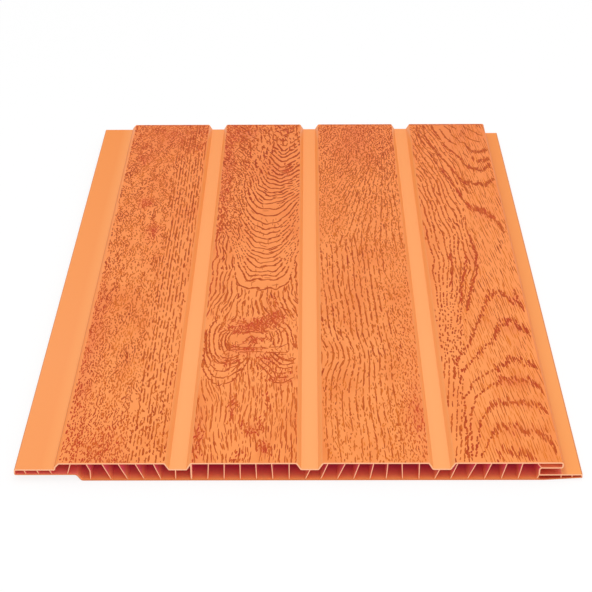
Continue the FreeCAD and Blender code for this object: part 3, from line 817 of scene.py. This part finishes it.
# Curves of the knot: rings at its left and right that sag into the two lobes, and curls in its heart.
knotRings = [
    [(14.5, 119), (13.5, 116), (13, 112), (13.5, 108), (14.5, 104.5)],
    [(13.8, 121), (12.2, 118), (11.5, 114), (11.5, 110), (12.3, 106), (13.5, 102)],
    [(13, 123), (11, 120), (10, 116), (9.6, 112), (10, 107), (11, 102), (12, 99)],
    [(1.5, 120), (1.5, 113), (2, 105), (3, 97)],
    [(4.5, 100), (5.5, 95), (7, 91), (8.5, 89)],
    [(11, 123), (9, 120), (8.3, 116), (8.2, 111), (8.8, 106), (9.5, 102)],
    [(9, 130), (7, 127.5), (6, 124), (5.5, 119), (5.3, 113), (5.8, 107), (6.5, 102), (7.5, 98), (9.5, 95)],
    [(6, 134), (4.5, 131), (3.3, 127), (2.8, 122), (2.9, 116), (3.2, 110), (3.6, 105), (4.2, 100),
     (5.5, 96)],
    [(0.9, 123), (0.8, 116), (1.2, 108), (2, 102), (3, 97), (4.5, 92), (5, 88), (6.5, 85), (9, 82),
     (11, 81.3), (13, 82), (15, 84.5), (17, 86), (19, 88), (21, 90.5)],
    [(0.9, 105), (1, 98), (1.5, 93), (2.5, 89), (4, 84), (6, 79), (8, 76), (10.5, 75), (13, 76), (15, 77),
     (17, 79), (19, 81.5), (20.5, 83.5)],
    [(0.9, 92), (1.2, 86), (3, 78), (5, 74), (7.5, 70), (10, 67.5), (12, 69.5), (14.5, 70.5), (16.5, 72),
     (18.5, 75), (20, 79)],
    [(5.5, 98), (8, 92), (10, 89.5), (13, 88.5), (16, 89), (18, 90), (20, 93)],
    [(36, 122), (37, 117), (37.5, 112), (37, 108)],
    [(38.3, 123), (39.5, 119), (40, 114), (39.7, 109)],
    [(37, 127), (40, 123.5), (41.3, 118), (41.8, 112), (41.5, 107)],
    [(39, 129), (42.5, 125), (44, 121), (44.7, 116), (45, 112), (45.3, 107), (45.5, 102)],
    [(43, 131), (45, 127), (46.5, 122), (47, 117), (47.7, 112), (48.2, 107), (49, 104)],
    [(41, 147), (44, 144.5), (46, 140.5), (48, 136)],
    [(38.5, 99), (40, 96), (42, 93), (44, 91.5), (46, 91), (48, 92), (49.2, 94.5)],
    [(36, 98), (38, 94), (40, 90.5), (42.5, 88), (45, 88), (49, 89.5)],
    [(34, 97), (36, 92.5), (38.5, 88), (40.5, 85), (43, 84), (47, 85.5)],
    [(31, 93), (33, 89), (35.5, 86), (37, 82.5), (38.5, 80), (42, 79.5), (46, 81)],
    [(30, 89), (32, 85), (34, 82), (36, 77.5), (38, 75.5), (41, 75), (45, 76)],
    [(36, 76), (37.5, 72), (40, 70.5), (43, 70.5), (46, 73), (48, 75)],
    [(30, 150), (32, 146), (34, 141), (35, 137)],
    [(22, 111.5), (23.5, 114.5), (25.5, 116.5), (27.3, 114.5), (28.2, 111), (27, 107)],
    [(24.5, 109.5), (25.5, 112), (27, 113.5)],
    [(30.3, 114.2), (32, 114.6), (33.6, 115)],
    [(18, 103), (22, 103.5), (26, 103), (30, 104), (34, 104)],
    [(16, 122), (20, 121), (25, 121.5), (30, 120.5), (33, 122)],
    [(12.6, 110), (13, 106), (14.3, 103), (16.5, 101.8)],
    [(13.6, 110), (14, 107), (15, 105), (17, 103.8)],
    [(15, 109.5), (15.2, 107.5), (16, 106), (18, 105.5), (19, 107), (18.5, 109)],
    [(23.7, 95), (21.7, 90.7), (19.7, 87.3), (18.3, 84.7), (16.3, 81.3)],
    [(25, 94), (23.7, 89.3), (22.3, 85.3), (21, 80)],
    [(26.5, 93), (26.3, 88), (25.8, 84)],
    [(28.5, 93), (29, 88), (29.8, 83)],
    [(20, 98), (17, 95.5), (14, 94), (11.5, 94.5), (9.5, 97)],
    [(19, 95), (17, 93), (14.5, 92), (12, 92)],
    [(34, 99.5), (38, 99.8), (41, 100), (44, 100), (45.5, 102)],
    [(38.5, 98.3), (41, 98), (43.5, 98.5)],
    [(43.2, 107.5), (41, 105.5), (38, 105), (35, 105.3)],
    [(17, 105), (21, 105.2), (26, 105), (31, 105.3), (34, 105)],
    [(20, 101), (24, 100.5), (28, 101), (32, 100.3)],
    [(49, 118), (49.3, 111), (49.3, 105)],
    [(35, 121), (35.8, 116), (36, 111)],
    [(14.5, 128), (13, 125), (12.5, 122)],
    [(10, 128), (8.3, 125), (7.3, 121)],
    [(40, 96), (42.5, 93.5), (45, 92.8), (47.5, 94)],
]


secondLand = [
    {
        "rows": bowlRows,
        "where": lambda a, v: onBowl(a, v) * (1 - 0.85 * ramp(a, 15, 8) * ramp(v, 235, 265))
        * (1 - 0.85 * pillarShare(a, v)),
        "grid": (1.8, 2.9), "onRow": 0.97, "spread": 4,
        "length": lambda a, v: np.clip(1.3 * bowlGap(a, v), 2.8, 5.0),
        "width": bowlWidth,
        "ink": lambda a, v: 0.8 + 0.2 * ramp(v, 200, 260), "blush": 0.25,
    },
    {
        "rows": pillarRows,
        "where": lambda a, v: 0.85 * pillarShare(a, v),
        "grid": (2.75, 4.4), "onRow": 0.8, "spread": 6,
        "length": 6.4, "width": 1.4, "ink": lambda a, v: 0.88 - 0.24 * ramp(v, 345, 375), "blush": 0.3,
    },
    {
        "rows": splitRows,
        "where": lambda a, v: 0.28 * spot(a, v, 31, 232, 12, 48),
        "grid": (2.4, 3.4), "onRow": 0.6, "spread": 9,
        "length": 4.2, "width": 0.62, "ink": 0.5, "blush": 0.2,
    },
    {
        "rows": bowlRows,
        "where": lambda a, v: ramp(v, 225, 255) * np.maximum(ramp(a, 22, 13), 0.25 * ramp(v, 355, 385)),
        "grid": (1.45, 2.8), "onRow": 0.2, "spread": 20,
        "length": 3.4, "width": 1.04, "ink": lambda a, v: 0.72 - 0.16 * ramp(v, 340, 375),
        "blush": lambda a, v: 0.2 + 0.35 * ramp(a, 12, 2) + 0.2 * ramp(v, 330, 390),
    },
    {
        "rows": splitRows,
        "where": lambda a, v: (1 - onBowl(a, v)) * ramp(v, 132, 140) * ramp(v, 265, 235) * 0.95,
        "grid": (2.0, 3.4), "onRow": 0.8, "spread": 5,
        "length": 7.0, "width": 1.0, "ink": lambda a, v: 0.6 + 0.25 * ramp(v, 185, 215),
        "blush": lambda a, v: 0.25 + 0.3 * ramp(a, 8, 2),
    },
    {
        "curves": knotRings, "every": 1.6, "spread": 5, "loose": (0.12, 0.3),
        "length": 3.6, "ink": 0.66, "blush": 0.4,
        "width": lambda a, v: 1.1 - 0.45 * spot(a, v, 15, 106, 4, 5) - 0.3 * spot(a, v, 25, 108, 6, 7),
    },
    {
        "rows": splitRows,
        "where": lambda a, v: spotSum(a, v, (
            (0.8, 26, 98, 14, 9), (0.4, 42, 104, 7, 6), (0.6, 26, 130, 18, 8), (0.7, 38, 84, 11, 8),
            (0.5, 14, 92, 7, 5),
        )),
        "grid": (1.5, 2.6), "onRow": 0.2, "spread": 14,
        "length": 3.0, "width": 0.75, "ink": 0.42, "blush": 0.5,
    },
    {
        "rows": thinTailRows,
        "where": lambda a, v: ramp(v, 150, 140) * (0.5 - 0.4 * spot(a, v, 25, 110, 24, 24)),
        "grid": (1.5, 4.2), "onRow": 0.4, "spread": 4,
        "length": 4.6, "width": 0.6, "ink": 0.32, "blush": 0.35,
    },
    {
        "rows": tailRows,
        "where": tailShare,
        "grid": (1.9, 4.2), "onRow": 0.75, "spread": 3,
        "length": 7.5, "width": 0.84, "ink": lambda a, v: 0.44 + 0.16 * ramp(v, 30, 5), "blush": 0.35,
    },
    {
        "rows": splitRows,
        "where": lambda a, v: spotSum(a, v, tangles) + spotSum(a, v, backTangles),
        "grid": (1.0, 1.7), "onRow": 0.0, "spread": lambda a, v: 8 + 30 * ramp(v, 85, 95) * ramp(v, 150, 130),
        "length": 3.2, "width": 1.0, "ink": 0.42, "blush": 0.85,
    },
]


# Third land: fine speckle that fans out at the back, and wavy rows of long dashes at the front left.
def fanRows(a, v):
    # Rows towards a point 44.3 mm across and 403 mm along, a 44th of their way to it apart. Nearer to
    # it than 60 mm they run side by side.
    return 44 * (a - 44.3) / np.maximum(403 - v, 60) + 0.2 * drift(a, v, 31, 14, 50)


def speckRows(a, v):
    # Rows 1.6 mm apart along the panel. Those at the left lean to the right towards the back.
    return (a - 0.1 * (v - 340) * ramp(a, 40, 20)) / 1.6 + 0.3 * drift(a, v, 34, 14, 40)


def waveRows(a, v):
    # Rows 3 mm apart that lean a little to the left. About 98 mm along they bulge to the right, most of
    # all at the left, where they also bend to the left in front of that.
    bulge = 4.5 * np.exp(-((v - 98) / 17) ** 2) * (1 - 0.7 * ramp(a, 5, 35))
    bend = 3 * ramp(v, 90, 40) * ramp(a, 30, 10)
    return (a - (bulge - bend) + 0.04 * (v - 150)) / 3.0 + 0.15 * drift(a, v, 32, 25, 70)


thirdLand = [
    {
        "rows": fanRows,
        "where": lambda a, v: ramp(v, 205, 225) * ramp(v, 370, 335) * ramp(a, 6, 18) * 0.95,
        "grid": (2.2, 3.8), "onRow": 0.85, "spread": 4,
        "length": 5.6, "width": 0.88, "ink": lambda a, v: 0.56 + 0.16 * ramp(v, 230, 290), "blush": 0.15,
    },
    {
        "rows": speckRows,
        "where": lambda a, v: ramp(v, 215, 235) * (
            0.52 + 0.2 * drift(a, v, 33, 14, 40) + 0.4 * np.maximum(ramp(v, 310, 370), ramp(a, 20, 8))
        ),
        "grid": (1.1, 2.1), "onRow": 0.2, "spread": 9,
        "length": 2.6, "width": lambda a, v: 0.78 + 0.16 * ramp(v, 270, 350),
        "ink": lambda a, v: 0.42 + 0.3 * ramp(v, 260, 360) + 0.2 * spot(a, v, 44, 360, 8, 30)
        - 0.14 * spot(a, v, 28, 340, 10, 35),
        "blush": lambda a, v: 0.12 + 0.3 * ramp(v, 300, 390),
    },
    {
        "rows": waveRows,
        "where": lambda a, v: ramp(v, 232, 215) * ramp(v, -10, 30) * ramp(a, 42, 32),
        "grid": (2.6, 4.2), "onRow": 0.96, "spread": 3,
        "length": 7.0, "width": lambda a, v: 0.85 + 0.22 * ramp(v, 40, 110) - 0.15 * ramp(v, 140, 190),
        "ink": lambda a, v: 0.5 + 0.16 * ramp(v, 40, 110), "blush": 0.15,
    },
    {
        "rows": waveRows,
        "where": lambda a, v: ramp(v, 235, 220) * (0.25 + 0.6 * ramp(a, 30, 40) + 0.2 * ramp(v, 80, 40)),
        "grid": (1.2, 2.5), "onRow": 0.0, "spread": 8,
        "length": 2.9, "width": 0.78, "ink": lambda a, v: 0.33 + 0.1 * ramp(v, 50, 110),
        "blush": lambda a, v: 0.12 + 0.7 * spot(a, v, 47, 35, 7, 30) + 0.3 * spot(a, v, 46, 100, 6, 40),
    },
]


# Fourth land: bold bowls at the back, long lines down the left, and arches of comb-like dashes in front.
# An arch has a comb at its right and a leg that comes down at its left.
archCombs = [
    [(29, 153), (31, 158), (33, 161.5), (36, 163.5), (38.5, 163), (40.5, 159.5), (42, 155), (44, 152),
     (47, 153), (49, 148)],
    [(30, 113), (31, 118), (32, 123.5), (34, 127.5), (37, 130), (41, 131.5), (43, 129), (45, 124),
     (47, 122.5), (49, 118)],
    [(28, 83), (30, 85.5), (33, 88), (35, 91.5), (38, 93), (41, 92), (44, 90), (47, 88), (49, 84)],
    [(26, 70), (28, 71), (30, 74), (33, 71), (36, 74), (39, 72.5), (41, 71), (44, 71.5), (46, 68.5),
     (49, 64)],
    [(20.5, 46.5), (22.5, 50.5), (25, 51.5), (28, 50.5), (31, 52.5), (35, 51.5), (40, 51.5), (44, 50.5),
     (46.5, 47.5), (49, 43)],
    [(19.5, 22.5), (22, 26.5), (24, 29), (27, 31), (31, 31), (34, 28.5), (37, 24), (40, 25), (43, 25),
     (46, 22), (48, 17), (49, 11)],
    [(20, 3), (21.5, 4.5), (24, 9), (28, 9.5), (31, 8), (34, 8), (36.5, 5.5), (39, 2.5)],
]
archLegs = [
    [(29, 153), (27.5, 148), (26, 143), (24.5, 137), (23, 132), (21.5, 126.5), (20, 121), (18, 116),
     (16.5, 109), (15, 105), (12.5, 102), (10.2, 97.5), (8, 92), (6.8, 87), (6, 81), (5.3, 75)],
    [(30, 113), (28, 109.5), (26, 107), (24, 104), (22, 103), (20, 98), (18, 94), (16.5, 91), (13.5, 88),
     (12, 84), (10.3, 80), (8.5, 74), (8, 70)],
    [(28, 83), (25, 81), (22, 78.5), (19.5, 76.5), (17.5, 74), (15, 70), (13, 66), (12, 61.5), (10.3, 59),
     (9.2, 54), (8.6, 47), (8, 41), (7.4, 20), (7, 3)],
    [(26, 70), (23.5, 68), (22, 66), (20, 63.5), (18, 61), (16, 58), (14.5, 56.5), (13.8, 52), (12.8, 47.5),
     (11.3, 42), (10.4, 36), (9.8, 30), (9.3, 18), (8.8, 3)],
    [(20.5, 46.5), (19.5, 43), (18, 41), (16.3, 37.5), (15.2, 34), (14.5, 29), (13.5, 24), (12.2, 20),
     (11.5, 14), (10.8, 9.5), (10, 5)],
    [(19.5, 22.5), (18.2, 19.5), (17.2, 16), (15.7, 11.5), (13.7, 8), (12.8, 3.5)],
    [(46.8, 168), (46.5, 162), (47, 157)],
]

# The boldest of the long lines, from the arches back.
longBold = [
    [(27, 232), (27.6, 224), (28.3, 216), (28.6, 208), (28.4, 200), (27.8, 192), (26.8, 186), (25.4, 181),
     (24.4, 177.5), (23, 171), (21.8, 165.5), (20.8, 161), (19.8, 155), (18.8, 149), (18, 143)],
    [(22.6, 212), (22.4, 204), (22, 197), (20.8, 190), (19.5, 185), (18.5, 178.5), (17.6, 172), (16.8, 166),
     (16, 159), (15.3, 153)],
    [(13.2, 211), (13.4, 203), (13.9, 195), (13, 188), (12.4, 182), (11.9, 178), (11, 171.5)],
    [(20, 314), (21.6, 309), (22.6, 304), (24, 299), (25.3, 294), (26, 287.5)],
    [(16, 330), (17.5, 325), (19, 319), (20, 313)],
    [(22, 333), (23.5, 328.5), (24.5, 322.5), (26.2, 317), (28, 311), (29.8, 305.5)],
    [(10.3, 376), (11.5, 371), (12.8, 364.5), (14.5, 359)],
    [(21, 366), (22.5, 361.5), (24.5, 356.5), (26.5, 353.5), (28.3, 350.5), (29.8, 345.5), (30.8, 341)],
    [(15.8, 391), (17, 386.5), (18.2, 382)],
]

# The bowls' left sides, and their combs at the right.
bowlLines = [
    [(8.7, 397), (9.4, 386), (10.2, 377), (11.5, 371), (13, 364), (14.5, 359), (15.5, 354), (17, 349),
     (19, 342), (21, 336), (23, 330)],
    [(15.5, 397), (16, 390), (17, 386), (18, 382), (19, 378), (20, 373)],
    [(20.5, 391), (22, 384), (23, 379), (24.5, 374), (26, 370), (28, 367), (29.5, 365)],
    [(24, 397), (25.5, 393), (27, 389), (27.5, 385)],
    [(28, 382), (29.5, 378), (31, 375), (32, 371), (33, 369.2), (35, 369), (36, 365), (37, 359),
     (38.3, 355)],
    [(28, 397), (30, 394), (31.5, 391.5)],
    [(37, 397), (37.7, 393)],
    [(37, 379), (39, 375), (41, 373), (43, 371), (46, 369.5)],
    [(35, 388), (36, 385), (36.5, 382)],
    [(40, 391), (42, 388), (44, 385), (46, 382), (48, 380)],
    [(46, 397), (46.5, 394)],
    [(33.5, 351), (35, 347.5)],
    [(20.5, 369), (22, 364), (24, 359), (25.5, 354.5)],
    [(30.5, 342), (31.5, 337), (33.5, 331)],
    [(5, 397), (5.5, 392)],
    [(5, 386), (5.5, 379), (7, 372), (8.5, 366)],
    [(10, 355), (11.5, 350), (12.5, 345.5), (13.5, 340), (14.2, 335)],
    [(26, 287.5), (27, 282), (28.5, 277), (30, 273)],
]
bowlCombs = [
    [(30, 306), (32, 306), (34, 308), (36, 304), (39, 306), (41, 303.5), (43, 303), (45, 306), (47, 309),
     (49, 312)],
    [(33.5, 331), (36, 328), (39, 327.5), (41.5, 325.5), (44, 325.5), (46, 329), (48, 332), (49.3, 334.5)],
    [(38, 355), (40, 354), (43, 354), (45.5, 354.5), (47.5, 357), (49, 356)],
    [(41, 338), (43, 339.5), (46, 341), (49, 342)],
    [(38.5, 346), (39, 342)],
]

# A broad band of dashes that slants down to the right edge, and its thin end.
diagonal = [[(28.5, 275), (30.5, 272), (33.5, 270), (36.5, 266.5), (39.5, 262.5), (42.5, 258), (45, 253.5)]]
diagonalEnd = [[(45, 253.5), (46.3, 249), (47.2, 243), (48.3, 237)]]


def lineOrigin(a, v):
    # Where a long line stands at 200 mm: behind it the lines lean over to the left, and in front of it
    # they draw together towards the left edge.
    shift = 19 * ramp(v, 200, 360) ** 1.8 + 0.24 * np.clip(v - 360, 0, 40)
    narrowed = np.interp(v, (96, 121, 143, 160, 178, 190, 200), (0.42, 0.48, 0.635, 0.735, 0.86, 0.96, 1))
    return (a + shift) / narrowed


def lineRows(a, v):
    # Rows that are 2.9 mm apart at 200 mm along.
    return lineOrigin(a, v) / 2.9 + 0.35 * drift(a, v, 43, 14, 50)


def thinLineRows(a, v):
    # The same rows, 1.55 times as close.
    return 1.55 * lineRows(a, v)


def lineShare(a, v):
    # Left of the arches and the bowls, from behind the arches' feet to the back end.
    return (lineOrigin(a, v) < np.where(v > 290, 42, 29.5)) * ramp(v, 88, 105) * 0.95


def footRows(a, v):
    # Rows 2.3 mm apart that lean a little to the right.
    return (a - 0.1 * v) / 2.3 + 0.15 * drift(a, v, 45, 20, 60)


def footShare(a, v):
    # In front and left of the arches' feet: full up to 6 mm across, none past 8 mm, and a little wider
    # away from 20 mm along.
    room = 0.06 * np.abs(v - 20)
    return ramp(v, 100, 90) * ramp(a, 8 + room, 6 + room) * 0.95


def straightRows(a, v):
    # Rows 1.35 mm apart that lean a little to the left.
    return (a + 0.1 * v) / 1.35 + 0.2 * drift(a, v, 44, 20, 120)


def straightInk(a, v):
    # Faint, in patches, and a little stronger behind the arches.
    patchy = 0.12 + 0.3 * drift(a, v, 46, 10, 30)
    return patchy + 0.16 * ramp(v, 90, 200) + 0.1 * spot(a, v, 40, 215, 14, 45)


fourthLand = [
    {
        "rows": lineRows,
        "where": lineShare,
        "grid": (1.7, 3.1), "onRow": 0.85, "spread": 4,
        "length": lambda a, v: 2.6 + 3.0 * ramp(v, 150, 260),
        "width": lambda a, v: 1.1 + 0.12 * ramp(v, 160, 120) - 0.2 * ramp(v, 290, 340),
        "ink": lambda a, v: 0.63 + 0.17 * ramp(v, 190, 140), "blush": 0.32,
    },
    {
        "rows": thinLineRows,
        "where": lambda a, v: ramp(v, 285, 330) * ramp(a, 22, 10) * 0.45,
        "grid": (1.5, 2.8), "onRow": 0.5, "spread": 5,
        "length": 3.6, "width": 0.95, "ink": 0.38, "blush": 0.2,
    },
    {
        "rows": footRows,
        "where": footShare,
        "grid": (1.7, 3.6), "onRow": 0.9, "spread": 4,
        "length": 3.6, "width": 0.95, "ink": 0.62, "blush": 0.3,
    },
    {
        "rows": straightRows,
        "where": lambda a, v: np.where(v > 200, ramp(a, 24, 30), ramp(a, 12, 17)) * 0.8,
        "grid": (1.2, 5.6), "onRow": 0.6, "spread": 1.5,
        "length": 9.0, "width": 0.55, "ink": straightInk, "blush": 0.15,
    },
    {
        "curves": archLegs[:2], "every": 1.4, "spread": 4, "lean": -7, "loose": (0.25, 1.4),
        "length": 4.2, "width": 1.15, "ink": 0.77, "blush": 0.55,
    },
    {
        "curves": archLegs[2:], "every": 2.5, "spread": 4, "lean": 8, "loose": (0.3, 0.4),
        "length": 3.8, "width": 1.35, "ink": lambda a, v: 0.66 + 0.16 * ramp(v, 60, 90), "blush": 0.5,
    },
    {
        "curves": archCombs, "every": 0.75, "spread": 3, "lean": -6, "loose": (0.2, 2.1),
        "length": 5.6, "width": lambda a, v: 1.0 + 0.15 * ramp(v, 55, 80),
        "ink": lambda a, v: 0.6 + 0.24 * ramp(v, 60, 90), "blush": 0.6,
    },
    {
        "curves": longBold, "every": 1.5, "spread": 4, "loose": (0.42, 0.4),
        "length": 5.0, "width": 1.35, "blush": 0.6,
        "ink": lambda a, v: 0.74 + 0.14 * spot(a, v, 26, 215, 8, 40),
    },
    {
        "curves": bowlLines, "every": 1.5, "spread": 4, "loose": (0.2, 0.3),
        "length": 4.6, "width": 1.35, "ink": 0.76, "blush": 0.3,
    },
    {
        "curves": bowlCombs, "every": 0.45, "spread": 6, "lean": -3, "loose": (0.2, 1.2),
        "length": 4.8, "width": 1.1, "ink": 0.72, "blush": 0.4,
    },
    {
        "curves": diagonal, "every": 0.3, "spread": 5, "lean": -8, "loose": (0.3, 2.8),
        "length": 6.0, "width": 0.92, "ink": 0.5, "blush": 0.7,
    },
    {
        "curves": diagonalEnd, "every": 0.8, "spread": 4, "loose": (0.5, 0.5),
        "length": 5.0, "width": 1.1, "ink": 0.64, "blush": 0.4,
    },
]

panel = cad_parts["wall_panel"]
material = extrudedPvc(pvc)
for materialSlot in panel.material_slots:
    materialSlot.material = material
print("panel dressed")
inkMaterial = grainInk(ink)
for number, figures in enumerate((firstLand, secondLand, thirdLand, fourthLand)):
    grainPiece(f"grain_land_{number + 1}", number, figures + [backEdge], inkMaterial)
addCamera(cameraPlace)
addStudio(studio)
bpy.context.scene.view_settings.view_transform = "Standard"
print("camera and studio set")
